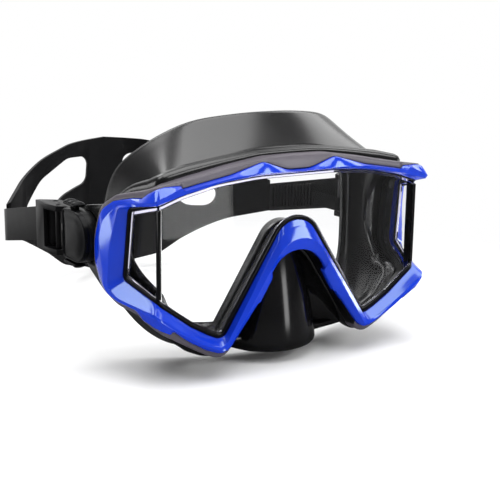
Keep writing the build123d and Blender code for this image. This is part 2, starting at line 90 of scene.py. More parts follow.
def on_wall(u, n):
    """Plan point of the unrolled glass surface, before its corner is rounded."""
    shift = n * SLANT
    if u <= CORNER:
        start = CORNER - BLEND_FRONT
        x = u if u < start else start + (u - start) * (BLEND_FRONT + shift) / BLEND_FRONT
        return Vector((x, FRONT - n))
    run = u - CORNER
    if run < BLEND_SIDE:
        run = run * (BLEND_SIDE + shift) / BLEND_SIDE - shift
    return Vector((CORNER + n * sin(TURN) + run * cos(TURN), FRONT - n * cos(TURN) + run * sin(TURN)))


def wrap(u, z, n, rounding=ROUND):
    """A point of the unrolled glass surface, in metres. Negative u is the wearer's right."""
    side, u = (1, u) if u >= 0 else (-1, -u)
    t = (u - CORNER + rounding) / (2 * rounding)
    if 0 < t < 1:
        a, b, c = (on_wall(CORNER + k * rounding, n) for k in (-1, 0, 1))
        p = a * (1 - t) ** 2 + b * 2 * t * (1 - t) + c * t ** 2
    else:
        p = on_wall(u, n)
    return Vector((side * p.x, p.y, z)) * MM


# ---------------------------------------------------------------- outlines
# A half outline is a row of (u, z, radius, key) points from the top middle down the wearer's left to the
# bottom middle. All outlines share seven keys, so that the loops made from them match point for point:
# 0 top middle, 1 top of the glass corner, 2 and 3 the rear corners, 4 bottom of the glass corner,
# 5 the low point beside the nose, 6 the top of the notch, or the bottom middle where there is no notch.
COUNTS = (100, 40, 36, 40, 70, 70)        # steps from each key to the next
SIDE_COUNT = sum(COUNTS[:5])              # steps from the top middle to key 5
STRAIGHT = 0.02                           # a bend in radians that needs no arc
ARC_SHARE = 0.48                          # the most of a side that one arc takes
ARC_STEPS = 8                             # steps of an arc, for each radian
END_STEPS = 8                             # steps of half an arc at the middle
LIGHT_PASSES, LIP_PASSES, STRONG_PASSES = 40, 60, 160  # smoothing of the skirt's outlines
LIP_WIDE = 11.0                           # how wide the lip lies on the face


def end_arc(p, mate, r, first):
    """Half an arc of radius r at an end p that the mirror image meets, next to the point `mate`."""
    d = (mate - p).normalized()
    up = d.y > 0
    half = abs(atan2(d.x, abs(d.y)))
    centre = p + Vector((0, 1 if up else -1)) * (r / sin(half))
    angles = [k / END_STEPS * (pi / 2 - half) for k in range(END_STEPS + 1)]
    arc = [centre + Vector((sin(a), -cos(a) if up else cos(a))) * r for a in angles]
    return arc if first else arc[::-1]


def corner_arc(before, p, after, r):
    """An arc of radius r, or of what fits, in place of the corner p."""
    a, b = (before - p).normalized(), (after - p).normalized()
    bend = pi - a.angle(b)
    if not r or bend < STRAIGHT:
        return [p]
    cut = min(r * tan(bend / 2), ARC_SHARE * min((before - p).length, (after - p).length))
    centre = p + (a + b).normalized() * hypot(cut / tan(bend / 2), cut)
    start, end = p + a * cut - centre, p + b * cut - centre
    steps = max(2, int(bend * ARC_STEPS))
    turn = atan2(start.cross(end), start.dot(end))
    arc = []
    for k in range(steps + 1):
        c, s = cos(turn * k / steps), sin(turn * k / steps)
        arc.append(centre + Vector((start.x * c - start.y * s, start.x * s + start.y * c)))
    return arc


def dense(points):
    """A half outline as a fine line, with the length run at each of its points and at each key."""
    line, keys = [], []
    spots = [Vector(point[:2]) for point in points]
    last = len(points) - 1
    for i, (p, (_, _, r, key)) in enumerate(zip(spots, points)):
        if i in (0, last):
            line += end_arc(p, spots[1 if i == 0 else -2], r, i == 0) if r else [p]
            keys.append(0 if i == 0 else len(line) - 1)
            continue
        arc = corner_arc(spots[i - 1], p, spots[i + 1], r)
        line += arc
        if key is not None:
            keys.append(len(line) - 1 - (len(arc) - 1) // 2)
    run = [0.0]
    for p, q in zip(line, line[1:]):
        run.append(run[-1] + (q - p).length)
    return line, run, [run[i] for i in keys]


def at(line, run, s):
    """The point of a fine line at length s."""
    lo, hi = 0, len(run) - 1
    while hi - lo > 1:
        mid = (lo + hi) // 2
        lo, hi = (mid, hi) if run[mid] <= s else (lo, mid)
    gap = run[hi] - run[lo]
    return line[lo].lerp(line[hi], (s - run[lo]) / gap if gap else 0)


def loop(points):
    """A half outline as a closed loop, the wearer's left first, with COUNTS steps between the keys."""
    line, run, keys = dense(points)
    half = []
    for k, count in enumerate(COUNTS):
        half += [at(line, run, keys[k] + (keys[k + 1] - keys[k]) * j / count) for j in range(count)]
    half.append(line[-1])
    return half + [Vector((-p.x, p.y)) for p in half[-2:0:-1]]


def spans(values):
    """One number for each point of a loop, eased between the values at its keys."""
    half = []
    for k, count in enumerate(COUNTS):
        for j in range(count):
            t = j / count
            t = t * t * (3 - 2 * t)
            half.append(values[k] * (1 - t) + values[k + 1] * t)
    half.append(values[-1])
    return half + half[-2:0:-1]


def mix(a, b, share):
    """Two loops mixed; share is one number or one for each point."""
    shares = share if isinstance(share, list) else [share] * len(a)
    return [p.lerp(q, t) for p, q, t in zip(a, b, shares)]


def grown(points, amount):
    """A loop moved outwards by amount along its normals."""
    made, count = [], len(points)
    for i, p in enumerate(points):
        d = points[(i + 1) % count] - points[i - 1]
        d = d.normalized() if d.length else Vector((1, 0))
        made.append(p + Vector((-d.y, d.x)) * amount)
    return made


def eased(points, passes):
    """A loop with its corners and its uneven steps smoothed out."""
    for _ in range(passes):
        points = [(points[i - 1] + p * 2 + points[(i + 1) % len(points)]) / 4 for i, p in enumerate(points)]
    return points


def laid(points, n, rounding=ROUND):
    """A loop laid n out from the glass; n is one number or one for each point."""
    heights = n if isinstance(n, list) else [n] * len(points)
    return [wrap(p.x, p.y, height, rounding) for p, height in zip(points, heights)]


# the edge of the clear window
window = loop([
    (0, 28.6, 0, 0), (20, 28.6, 60, None), (40, 27.0, 60, None), (56, 23.6, 40, None), (67, 19.9, 0, 1),
    (83.3, 17.5, 3, 2), (87.0, -13.2, 3, 3), (68, -20.4, 4, 4), (61.9, -24.9, 10, None),
    (52.5, -32.2, 14, None), (44.5, -36.9, 20, None), (36.9, -40.4, 5, 5), (0, 18.2, 11.5, 6),
])
# the trim's inner crest, its outer crest, and its outer edge with the tabs along the top and the notch
crest_in = loop([
    (0, 29.5, 0, 0), (20, 29.5, 60, None), (40, 27.9, 60, None), (56, 24.5, 40, None), (67, 21.0, 0, 1),
    (85.8, 17.6, 3, 2), (90.0, 2.0, 30, None), (90.6, -16.4, 3, 3), (85, -19.9, 8, None),
    (67.5, -23.6, 3, 4), (58.2, -31.4, 20, None), (50.4, -37.0, 20, None), (43, -40.9, 10, None),
    (38.0, -42.2, 4, 5), (0, 16.4, 13, 6),
])
crest_out = loop([
    (0, 29.9, 0, 0), (12, 30.1, 30, None), (22, 30.3, 20, None), (34.5, 29.7, 20, None),
    (50, 27.4, 30, None), (56.3, 26.1, 0.4, None), (57.6, 27.4, 0.4, None), (66.9, 22.6, 3, 1),
    (75, 20.9, 8, None), (87.0, 18.2, 5, 2), (95.6, 11.0, 9, None), (96.6, 3.4, 8, None),
    (93.9, -8.0, 20, 3), (93.6, -18.0, 6, None), (86, -21.3, 8, None), (67.2, -24.8, 3, 4),
    (58.4, -32.5, 20, None), (50.8, -38.1, 20, None), (43.4, -42.0, 10, None), (37.2, -44.4, 6, 5),
    (0, 12.6, 14.6, 6),
])
outer = loop([
    (0, 30.3, 0, 0), (6, 30.3, 14, None), (18.5, 34.7, 4.5, None), (34.5, 30.2, 3, None),
    (50, 27.6, 40, None), (56.4, 26.3, 0.3, None), (57.2, 27.7, 0.8, None), (64.5, 27.7, 6, None),
    (67.4, 26.9, 3, 1), (71.1, 25.0, 3, None), (74.5, 22.4, 1.5, None), (80, 21.8, 6, None),
    (90.6, 19.4, 6, 2), (98.4, 14.6, 9, None), (102.2, 1.4, 25, None), (102.0, -8.0, 12, 3),
    (97.8, -18.0, 9, None), (89, -22.9, 10, None), (77.4, -24.4, 1, None), (74, -27.9, 1.5, None),
    (67, -30.4, 4, 4), (61.5, -33.4, 0.6, None), (60.7, -32.0, 0.6, None), (53.6, -38.0, 20, None),
    (46, -42.8, 20, None), (36.6, -46.4, 7, 5), (20.9, -26.2, 0.4, None), (19.4, -25.4, 0.4, None),
    (13.3, -15.4, 0.4, None), (14.8, -15.2, 0.4, None), (0, 10, 15, 6),
])
# the outer edge of the graphite frame, and of the skirt's bead behind it
frame_edge = loop([
    (0, 36.3, 0, 0), (16, 36.1, 30, None), (34, 33.4, 40, None), (47.3, 30.9, 30, None),
    (67, 27.8, 8, 1), (74, 25.6, 8, None), (90, 22.0, 8, 2), (99.6, 16.2, 10, None),
    (103.0, 3, 20, None), (102.8, -9.0, 12, 3), (98.6, -19.6, 9, None), (89, -25.2, 10, None),
    (78, -27.2, 8, None), (67, -32.4, 8, 4), (60, -37.2, 20, None), (47, -44.6, 20, None),
    (36.6, -49.6, 8, 5), (0, 8.0, 14.0, 6),
])
bead_edge = eased(loop([
    (0, 38.4, 0, 0), (16, 38.3, 30, None), (36, 36.0, 40, None), (57, 33.0, 20, None), (67, 31.6, 0, 1),
    (76, 29.8, 8, None), (90, 25.4, 10, 2), (101.0, 17.0, 14, None), (104.4, 3.0, 14, None),
    (104.2, -8.8, 14, 3), (102.4, -23.4, 10, None), (91.0, -30.6, 12, None), (79, -32.4, 8, None),
    (67, -36.6, 8, 4), (60, -40.6, 20, None), (47, -47.0, 20, None), (37.0, -51.0, 9, 5),
    (0, 4.0, 12, 6),
]), LIGHT_PASSES)
# the front edge of the skirt's wall, behind the bead, and its rear edge, on the face
ring_front = eased(loop([
    (0, 37.6, 0, 0), (17, 37.5, 30, None), (36, 33.4, 40, None), (67, 28.4, 0, 1), (86, 22.0, 8, 2),
    (98.7, 5.0, 16, None), (98.5, -6.0, 10, 3), (86.6, -17.8, 14, None), (71, -23.0, 12, None),
    (66.5, -27.4, 8, 4), (55, -35.6, 25, None), (44, -42.0, 25, None), (30, -47.0, 8, 5),
    (0, -48.0, 0, 6),
]), STRONG_PASSES)
face_edge = eased(loop([
    (0, 52.2, 0, 0), (11, 52.2, 120, None), (36, 49.6, 50, None), (50, 41.4, 50, 1),
    (59, 33.4, 45, None), (64.6, 26.0, 22, 2), (67, 8.0, 100, None), (67, -8.0, 40, 3),
    (67, -22.0, 12, None), (61, -33.0, 15, 4), (54, -43.5, 15, None), (44, -51.0, 8, None),
    (31, -52.0, 20, 5), (0, -52.0, 0, 6),
]), STRONG_PASSES)
lip_edge = eased(grown(face_edge, -LIP_WIDE), LIP_PASSES)


# ---------------------------------------------------------------- making meshes
MERGE, MERGE_CAD = 1e-6, 2e-6             # metres within which points are joined, in skins and CAD meshes
FLAT = 1.0                                # degrees under which CAD facets are joined into one
TRIM_SHARP, FRAME_SHARP, BEVEL_SHARP = 35, 35, 20  # degrees from which an edge stays sharp
CAP_SHARP, HEAD_SHARP = 40, 50            # the same, on the buckles


def opened(mesh):
    """A mesh's own bmesh, to be given to put_back after the change."""
    bm = bmesh.new()
    bm.from_mesh(mesh)
    return bm


def put_back(bm, mesh):
    bm.to_mesh(mesh)
    bm.free()


def smoothed(mesh):
    mesh.polygons.foreach_set("use_smooth", [True] * len(mesh.polygons))


def skin(name, rows, body, closed=True, ring=True):
    """A smooth skin over rows of points. closed joins the last row to the first, ring each row's ends."""
    count = len(rows[0])
    verts = [tuple(p) for row in rows for p in row]
    faces = []
    for r in range(len(rows) if closed else len(rows) - 1):
        a, b = r * count, (r + 1) % len(rows) * count
        for i in range(count if ring else count - 1):
            j = (i + 1) % count
            faces.append((a + i, a + j, b + j, b + i))
    mesh = bpy.data.meshes.new(name)
    mesh.from_pydata(verts, [], faces)
    bm = opened(mesh)
    bmesh.ops.remove_doubles(bm, verts=bm.verts, dist=MERGE)
    bmesh.ops.recalc_face_normals(bm, faces=bm.faces)
    put_back(bm, mesh)
    smoothed(mesh)
    piece = bpy.data.objects.new(name, mesh)
    bpy.context.scene.collection.objects.link(piece)
    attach(piece, body)
    return piece


def close_ends(piece):
    """Closes the open ends of a skin with flat faces."""
    bm = opened(piece.data)
    bmesh.ops.holes_fill(bm, edges=[e for e in bm.edges if e.is_boundary], sides=0)
    bmesh.ops.recalc_face_normals(bm, faces=bm.faces)
    put_back(bm, piece.data)


def sharpen(piece, degrees):
    """Keeps the edges sharper than this angle out of the smooth shading."""
    bm = opened(piece.data)
    for edge in bm.edges:
        if len(edge.link_faces) == 2:
            edge.smooth = edge.calc_face_angle(0) < radians(degrees)
    put_back(bm, piece.data)


def softened(solid, width, segments=2, angle=28):
    """A copy of a hard CAD solid with its flat faces joined and its edges rounded, width in mm."""
    source = frame["nodes"][solid]
    mesh = source.data.copy()
    piece = bpy.data.objects.new(solid + "_body", mesh)
    bpy.context.scene.collection.objects.link(piece)
    bm = opened(mesh)
    bmesh.ops.remove_doubles(bm, verts=bm.verts, dist=MERGE_CAD)
    bmesh.ops.dissolve_limit(bm, angle_limit=radians(FLAT), verts=bm.verts, edges=bm.edges)
    bmesh.ops.recalc_face_normals(bm, faces=bm.faces)
    put_back(bm, mesh)
    smoothed(mesh)
    bevel = piece.modifiers.new("edges", "BEVEL")
    bevel.width = width * MM
    bevel.segments = segments
    bevel.limit_method = "ANGLE"
    bevel.angle_limit = radians(angle)
    bevel.harden_normals = True
    bevel.use_clamp_overlap = True
    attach(piece, source["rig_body"])
    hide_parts(solid)
    return piece


# ---------------------------------------------------------------- materials
def add_node(tree, kind, inputs, **settings):
    """A new shader node. inputs gives each socket a value, or the output that it takes."""
    made = tree.nodes.new("ShaderNode" + kind)
    for key, value in settings.items():
        setattr(made, key, value)
    for key, value in inputs.items():
        if isinstance(value, bpy.types.NodeSocket):
            tree.links.new(value, made.inputs[key])
        else:
            made.inputs[key].default_value = value
    return made


def maths(tree, operation, a, b, clamp=False):
    """The output of a Math node."""
    return add_node(tree, "Math", {0: a, 1: b}, operation=operation, use_clamp=clamp).outputs[0]


def step(tree, value, start, end):
    """0 below start, 1 above end, and smooth between."""
    reach = {"Value": value, "From Min": start, "From Max": end}
    return add_node(tree, "MapRange", reach, interpolation_type="SMOOTHSTEP").outputs["Result"]


def blend_shaders(tree, share, a, b):
    """Shader a, with `share` of it replaced by shader b."""
    return add_node(tree, "MixShader", {0: share, 1: a, 2: b}).outputs[0]


def show(tree, surface):
    """Makes a shader the material's surface."""
    tree.links.new(surface, tree.nodes["Material Output"].inputs["Surface"])


def object_coords(tree):
    return add_node(tree, "TexCoord", {}).outputs["Object"]


def noise(tree, scale, detail=4.0, rough=0.5):
    """Noise over the object, `scale` features to the metre."""
    inputs = {"Vector": object_coords(tree), "Scale": scale, "Detail": detail, "Roughness": rough}
    return add_node(tree, "TexNoise", inputs).outputs["Fac"]


def ramp(tree, level, stops):
    """Colours or greys between stops of (level, value)."""
    made = add_node(tree, "ValToRGB", {"Fac": level})
    for element, (where, value) in zip(made.color_ramp.elements, stops):
        element.position = where
        element.color = (*value, 1) if isinstance(value, tuple) else (value, value, value, 1)
    return made.outputs["Color"]


def shader(name, colour, roughness, specular=0.5, **sockets):
    """A material with a plain Principled shader. Other sockets are named with _ for their spaces."""
    mat = bpy.data.materials.new(name)
    mat.use_nodes = True
    bsdf = mat.node_tree.nodes["Principled BSDF"]
    bsdf.inputs["Base Color"].default_value = (*colour, 1)
    bsdf.inputs["Roughness"].default_value = roughness
    bsdf.inputs["Specular IOR Level"].default_value = specular
    for key, value in sockets.items():
        bsdf.inputs[key.replace("_", " ")].default_value = value
    return mat, mat.node_tree, bsdf


PATCHES, HAZE = 45, 180                   # features to the metre of a surface's tone and of its gloss


def finish_surface(tree, bsdf, tint, gloss, bumps):
    """Adds slow colour variation, uneven gloss and fine bumps to a plain shader.

    tint and gloss are shares of the colour and the roughness. A bump is (features to the metre,
    strength, height in metres).
    """
    colour = bsdf.inputs["Base Color"].default_value[:3]
    lo = tuple(c * (1 - tint) for c in colour)
    hi = tuple(min(c * (1 + tint), 1) for c in colour)
    tree.links.new(ramp(tree, noise(tree, PATCHES, 3), [(0.3, lo), (0.7, hi)]), bsdf.inputs["Base Color"])
    rough = bsdf.inputs["Roughness"].default_value
    levels = [(0.3, rough * (1 - gloss)), (0.75, min(rough * (1 + gloss), 1))]
    tree.links.new(ramp(tree, noise(tree, HAZE, 5, 0.6), levels), bsdf.inputs["Roughness"])
    normal = {}
    for scale, strength, height in bumps:
        grain = noise(tree, scale, 3, 0.55)
        bump = add_node(tree, "Bump", {"Strength": strength, "Distance": height, "Height": grain, **normal})
        normal = {"Normal": bump.outputs["Normal"]}
    tree.links.new(normal["Normal"], bsdf.inputs["Normal"])


def dark_plastic(name, colour, roughness, specular, grain=2600, depth=0.12):
    """Moulded plastic with an even grain."""
    mat, tree, bsdf = shader(name, colour, roughness, specular)
    finish_surface(tree, bsdf, 0.12, 0.1, [(grain, depth, 0.0002), (70, 0.02, 0.001)])
    return mat


def silicone(name, colour, roughness, specular):
    """Smooth rubber with a slow ripple."""
    mat, tree, bsdf = shader(name, colour, roughness, specular)
    finish_surface(tree, bsdf, 0.15, 0.04, [(1500, 0.015, 0.0001), (38, 0.01, 0.001)])
    return mat


def clear_glass(name, ior, tint=(0.985, 0.99, 0.995)):
    """Clear glass with a faint film, which lets the lamps' light through.

    The panes are thin, so a low index keeps what is behind them in its place.
    """
    mat, tree, bsdf = shader(name, tint, 0.0, Transmission_Weight=1.0, IOR=ior)
    film = ramp(tree, noise(tree, 26, 4, 0.6), [(0.4, tuple(c * 0.992 for c in tint)), (0.8, tint)])
    tree.links.new(film, bsdf.inputs["Base Color"])
    clear = add_node(tree, "BsdfTransparent", {"Color": (0.97, 0.98, 0.98, 1)}).outputs[0]
    shadow = add_node(tree, "LightPath", {}).outputs["Is Shadow Ray"]
    show(tree, blend_shaders(tree, shadow, bsdf.outputs[0], clear))
    return mat


def blue_plastic(name):
    """Glossy moulded plastic, nearly without grain."""
    mat, tree, bsdf = shader(name, (0.005, 0.036, 0.54), 0.11, 1.0, Specular_Tint=(0.76, 0.98, 1.0, 1.0))
    finish_surface(tree, bsdf, 0.05, 0.08, [(900, 0.015, 0.0001), (60, 0.012, 0.001)])
    return mat


def steel(name):
    mat, tree, bsdf = shader(name, (0.62, 0.63, 0.65), 0.28, Metallic=1.0)
    finish_surface(tree, bsdf, 0.05, 0.3, [(3000, 0.08, 0.0001)])
    return mat


# colour, roughness and specular level of each, as rendered under the lamps below
RUBBER_BLACK = (0.003, 0.003, 0.0034)
DULL_BLACK = (0.004, 0.004, 0.0045)
FINE = {"grain": 1800, "depth": 0.04}     # a shallower grain, for the glossier plastics
BLUE = blue_plastic("trim_blue")
FRAME_BLACK = dark_plastic("frame_graphite", (0.085, 0.075, 0.092), 0.36, 0.4, **FINE)
SEAL = silicone("seal_black", (0.003, 0.003, 0.0035), 0.22, 0.18)
SKIRT = silicone("skirt_silicone", RUBBER_BLACK, 0.25, 0.62)
STRAP = silicone("strap_silicone", DULL_BLACK, 0.4, 0.09)
BUCKLE = dark_plastic("buckle_black", DULL_BLACK, 0.34, 0.12)
CAP = dark_plastic("cap_black", (0.002, 0.0022, 0.0028), 0.24, 0.1, **FINE)
PIN = dark_plastic("pin_acetal", (0.03, 0.03, 0.032), 0.35, 0.45)
GLASS = clear_glass("pane_glass", 1.2)
# painted reflection: the bevel's lavender tint stands in for the lilac sheen along the windows' edges
BEVEL = clear_glass("bevel_glass_painted_sheen", 1.4, (0.76, 0.74, 0.9))
# painted shade: a black copy of the graphite frame, for its shaded inner faces and nose notch
FRAME_SHADE_BLACK = dark_plastic("frame_painted_shade", (0.003, 0.003, 0.0036), 0.3, 0.2, **FINE)
POCKET = silicone("pocket_silicone", RUBBER_BLACK, 0.13, 0.44)
STEEL = steel("spring_steel")


def dress(piece, mat):
    """Gives a piece its material."""
    piece.data.materials.clear()
    piece.data.materials.append(mat)


# ---------------------------------------------------------------- the blue trim
# Heights over the glass, key by key: at the crests, at the outer edge, and where the trim meets the glass.
INNER_RISE = spans((3.4, 4.6, 4.2, 6.0, 5.1, 4.6, 2.4))
OUTER_RISE = spans((5.2, 5.4, 3.0, 5.6, 5.3, 5.2, 5.2))
EDGE_RISE = spans((2.9, 2.9, 2.0, 2.4, 3.0, 3.2, 3.4))
FOOT = [0.8] * len(window)
# A strip of the trim runs from one line and height to the next, with each row's shares of the way and the
# rise. The last strip is the outer edge, down to the glass.
TRIM_STRIPS = (
    (window, crest_in, FOOT, INNER_RISE, ((0.0, 0.0), (0.03, 0.12), (0.5, 0.55), (0.93, 0.93), (1.0, 1.0))),
    (crest_in, crest_out, INNER_RISE, OUTER_RISE, ((0.08, 0.1), (0.5, 0.53), (0.94, 0.97), (1.0, 1.0))),
    (crest_out, outer, OUTER_RISE, EDGE_RISE, ((0.08, 0.06), (0.5, 0.46), (0.9, 0.9), (1.0, 1.15))),
    (crest_out, outer, EDGE_RISE, FOOT, ((1.0, 1.0),)),
)
rows = []
for start, end, low_n, high_n, shares in TRIM_STRIPS:
    for way, rise in shares:
        heights = [low + (high - low) * rise for low, high in zip(low_n, high_n)]
        rows.append(laid(mix(start, end, way), heights))
trim = skin("trim_rim", rows, "mask")
sharpen(trim, TRIM_SHARP)
weighted = trim.modifiers.new("facets", "WEIGHTED_NORMAL")
weighted.keep_sharp = True
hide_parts("frame_trim")
dress(trim, BLUE)

# ---------------------------------------------------------------- the graphite inner frame
# Its flank falls back from the trim to its edge by FRAME_SLOPE. Each row has its share of the way, and its
# height over that slope. The inner rows have the line they start from, their share of the way from there
# to the edge, and their height over the glass.
FRAME_SLOPE = 0.47
FLANK = ((0.08, 1.9), (0.16, 2.0), (0.5, 2.0), (0.88, 2.0), (0.95, 1.8), (1.0, 0.9))
INSIDE = ((outer, 1.0, -6.0), (window, 0.35, -6.0), (window, 0.2, -5.6), (window, 0.1, -3.4))
NOTCH_MARGIN = 6                          # steps past the low point where the notch's painted shade starts
widths = [(q - p).length for p, q in zip(outer, frame_edge)]
rows = [laid(mix(window, outer, 0.5), 0.55), laid(outer, 0.7)]
for way, n in FLANK:
    rows.append(laid(mix(outer, frame_edge, way), [n - FRAME_SLOPE * wide * way for wide in widths]))
front_rows = len(rows)
rows += [laid(mix(line, frame_edge, way), n) for line, way, n in INSIDE]
inner = skin("inner_frame_shell", rows, "mask")
sharpen(inner, FRAME_SHARP)
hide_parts("inner_frame")
dress(inner, FRAME_BLACK)
# painted shade: the faces behind the rim and those in the notch for the nose get a black copy of the
# graphite, for the shade there
inner.data.materials.append(FRAME_SHADE_BLACK)
notch_start = SIDE_COUNT + NOTCH_MARGIN
for k, face in enumerate(inner.data.polygons):
    row, place = divmod(k, len(window))
    if row >= front_rows or notch_start <= place < len(window) - notch_start:
        face.material_index = 1

# ---------------------------------------------------------------- the seal and the bevel round the windows
# Widths are inwards from the window's edge. The seal's rows have their share of the way out under the trim,
# the bevel's their share of its width, and both their height over the glass.
SEAL_WIDE = spans((0.5, 0.6, 1.8, 2.0, 1.9, 2.6, 2.0))
SEAL_ROWS = ((1.0, 0.06), (0.0, 0.06), (0.0, 0.35), (0.3, 0.8), (1.0, 0.85))
BEVEL_WIDE = spans((0.8, 1.0, 1.2, 1.0, 0.1, 0.1, 0.1))
BEVEL_GAP = 0.1                           # clear of the seal
BEVEL_ROWS = ((0.0, 0.05), (0.0, 0.12), (1.0, 0.7), (1.0, 0.05))


def inset(widths):
    """The window's edge moved inwards by a width for each point."""
    return [p + (q - p) * wide for p, q, wide in zip(window, grown(window, -1), widths)]


under_trim = grown(window, 0.5)           # the seal's outer edge, hidden by the trim
seal = skin("lens_seal", [laid(mix(inset(SEAL_WIDE), under_trim, way), n) for way, n in SEAL_ROWS], "mask")
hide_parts("lens_gasket")
dress(seal, SEAL)

# the bevel is a wedge of polished glass, thin at the seal, tinted lavender as a painted reflection
rows = []
for share, n in BEVEL_ROWS:
    rows.append(laid(inset([w + BEVEL_GAP + b * share for w, b in zip(SEAL_WIDE, BEVEL_WIDE)]), n))
bevel = skin("glass_bevel", rows, "mask")
sharpen(bevel, BEVEL_SHARP)
dress(bevel, BEVEL)

# ---------------------------------------------------------------- the soft skirt
# The face is an arc seen from above: CHEEK to each side of its middle, it lies RISE further back.
CHEEK, RISE = 67.0, 28.0
HEAD = (CHEEK ** 2 + RISE ** 2) / (2 * RISE)


def on_face(x):
    """How far back the face is at x."""
    return HEAD - RISE - (HEAD ** 2 - min(abs(x), HEAD - 1) ** 2) ** 0.5


def face_row(points, lift):
    """A loop laid on the face, `lift` in front of it."""
    return [Vector((p.x, on_face(p.x) - lift, p.y)) * MM for p in points]


def between(a, b, way, dip):
    """A row of the skirt's wall between two others, `dip` mm inwards of the straight line."""
    made = []
    for p, q in zip(a, b):
        m = p.lerp(q, way)
        made.append(m + Vector((-m.x, 0, -m.z)).normalized() * dip * MM)
    return made


# the bead behind the frame: each row's share of the way to its outer edge, and its height over the glass
BEAD_ROWS = (
    (-0.2, -5.4), (0.35, -5.2), (0.75, -5.9), (0.95, -7.2), (1.0, -8.8), (1.0, -10.2), (0.88, -11.8),
    (0.6, -13.0), (0.15, -13.8), (-0.4, -14.0),
)
root = eased(frame_edge, LIGHT_PASSES)
rows = [laid([p + (q - p) * way for p, q in zip(root, bead_edge)], n, SKIRT_ROUND) for way, n in BEAD_ROWS]
BEAD_BACK = spans((0.12, 0.12, 0.6, 0.6, 0.2, 0.12, 0.12))   # how far out its inner side is, behind the frame
back = mix(window, frame_edge, BEAD_BACK)
rows += [laid(back, n, SKIRT_ROUND) for n in (-13.8, -6.1)]
bead = skin("skirt_bead", rows, "mask")

# the wall from the bead to the face, the lip that lies on the face, and the wall's inner side
WALL_START = -12.0                        # height over the glass of the wall's front edge, inside the bead
WALL_THICK = 2.2
# rows of the wall: each one's share of the way to the face, and how far it dips inwards
WALL_OUTSIDE = ((0.12, 0.2), (0.3, 0.4), (0.55, 0.4), (0.8, 0.2), (0.95, 0.0))
WALL_INSIDE = ((0.8, 0.4), (0.5, 0.9), (0.2, 0.7))
front_row = laid(ring_front, WALL_START, SKIRT_ROUND)
front_inner = laid(grown(ring_front, -WALL_THICK), WALL_START, SKIRT_ROUND)
edge_row = face_row(face_edge, 1.2)
edge_inner = face_row(grown(face_edge, -2.3), 2.6)
lip = [
    face_row(grown(face_edge, 0.3), 0.3), face_row(grown(face_edge, -0.6), 0.0),
    face_row(mix(face_edge, lip_edge, 0.5), 0.0), face_row(lip_edge, 0.0), face_row(lip_edge, 0.7),
    face_row(mix(face_edge, lip_edge, 0.6), 1.6),
]
ring = skin("skirt_shell", [
    front_row, *[between(front_row, edge_row, way, dip) for way, dip in WALL_OUTSIDE], edge_row, *lip,
    edge_inner, *[between(front_inner, edge_inner, way, dip) for way, dip in WALL_INSIDE], front_inner,
], "mask")

# The nose pocket is a soft wedge in the notch of the glass. A web on each side joins it to the bead.
NOSE_TOP, NOSE_TALL = -5.4, 43.2          # z of its top, and the height of its front
NOSE_ROWS, ROLL_ROWS = 28, 5              # rows down the front, and round its lower edge
ROLL = 2.0                                # radius of that edge
COLUMNS = 26                              # columns on each side of the middle one
POCKET_SHARE = 0.66                       # the share of them on the pocket; the others are on the web
NOSE_NARROW, NOSE_SPREAD = 3.4, 17.6      # half width at the top, and how much it gains by the bottom
NOSE_FLARE = 0.78                         # under 1, it gains most of that near the top
NOSE_BACK, NOSE_LEAN = 0.6, 7.0           # how far the front is behind the glass, and its top behind that
NOSE_CURVE, CURVE_END = 22.0, 21.5        # radius of the front, seen from above, and the last x on it
EDGE_FROM, EDGE_TURN = 0.75, 48.0         # the share of the half width where a flank turns back, and how fast
NOTCH_TOP, NOTCH_SLOPE = 1.0, 0.69        # z where the notch would start, and how fast it widens downwards
WEB_REACH, WEB_LEAST = 3.6, 1.5           # how far the web goes in behind the frame, and its least width
WEB = FRONT + 12.0                        # y of the web's edge, behind the bead
TUCK_BACK, TUCK_FORWARD = 2.2, 1.5        # how soon the web gets to WEB, from in front and from behind
WEB_LIFT = 4.5                            # how much the web's lower corner comes up, to stay in the skirt
LEAVE = 1.6                               # how soon the web leaves the form of the pocket's lower edge
FLOOR_END = -30.0                         # y where the pocket's floor ends


def nose_front(x, half, t):
    """y of the pocket's front, x from the middle where it is half wide, a share t of the way down."""
    lean = NOSE_LEAN * (1 - t) ** 1.2
    bulge = NOSE_CURVE - (NOSE_CURVE ** 2 - min(x, CURVE_END) ** 2) ** 0.5
    return FRONT + NOSE_BACK + lean + bulge + EDGE_TURN * max(0, abs(x) / half - EDGE_FROM) ** 2


def web_share(column):
    """0 on the pocket, then up to 1 at the web's edge."""
    return max(0, abs(column) / COLUMNS - POCKET_SHARE) / (1 - POCKET_SHARE)


rows = []
columns = range(-COLUMNS, COLUMNS + 1)
for j in range(NOSE_ROWS + ROLL_ROWS + 1):
    t, roll = min(j / NOSE_ROWS, 1), max(0, j - NOSE_ROWS) / ROLL_ROWS * pi / 2
    z = NOSE_TOP - NOSE_TALL * t - ROLL * sin(roll)
    half = NOSE_NARROW + NOSE_SPREAD * t ** NOSE_FLARE
    edge = max(half + WEB_LEAST, NOTCH_SLOPE * (NOTCH_TOP - z) + WEB_REACH)
    row = []
    for i in columns:
        web = web_share(i)
        x = half * sin(min(abs(i) / COLUMNS / POCKET_SHARE, 1) * pi / 2) + (edge - half) * web
        y = nose_front(min(x, half), half, t) + ROLL * (1 - cos(roll))
        y += (WEB - y) * (min(1, TUCK_BACK * web) ** 0.5 if y < WEB else min(1, TUCK_FORWARD * web))
        lift = WEB_LIFT * min(1, LEAVE * web) * t ** 8
        row.append(Vector((x if i > 0 else -x, y, z + lift)) * MM)
    rows.append(row)
floor_row = []
for i, p in zip(columns, rows[-1]):
    part = 1 - min(1, LEAVE * web_share(i))
    floor_row.append(Vector((p.x, p.y + max(0, FLOOR_END * MM - p.y) * part, p.z)))
rows.append(floor_row)
nose = skin("nose_pocket", rows, "mask", closed=False, ring=False)
thick = nose.modifiers.new("wall", "SOLIDIFY")
thick.thickness = WALL_THICK * MM
thick.offset = 0
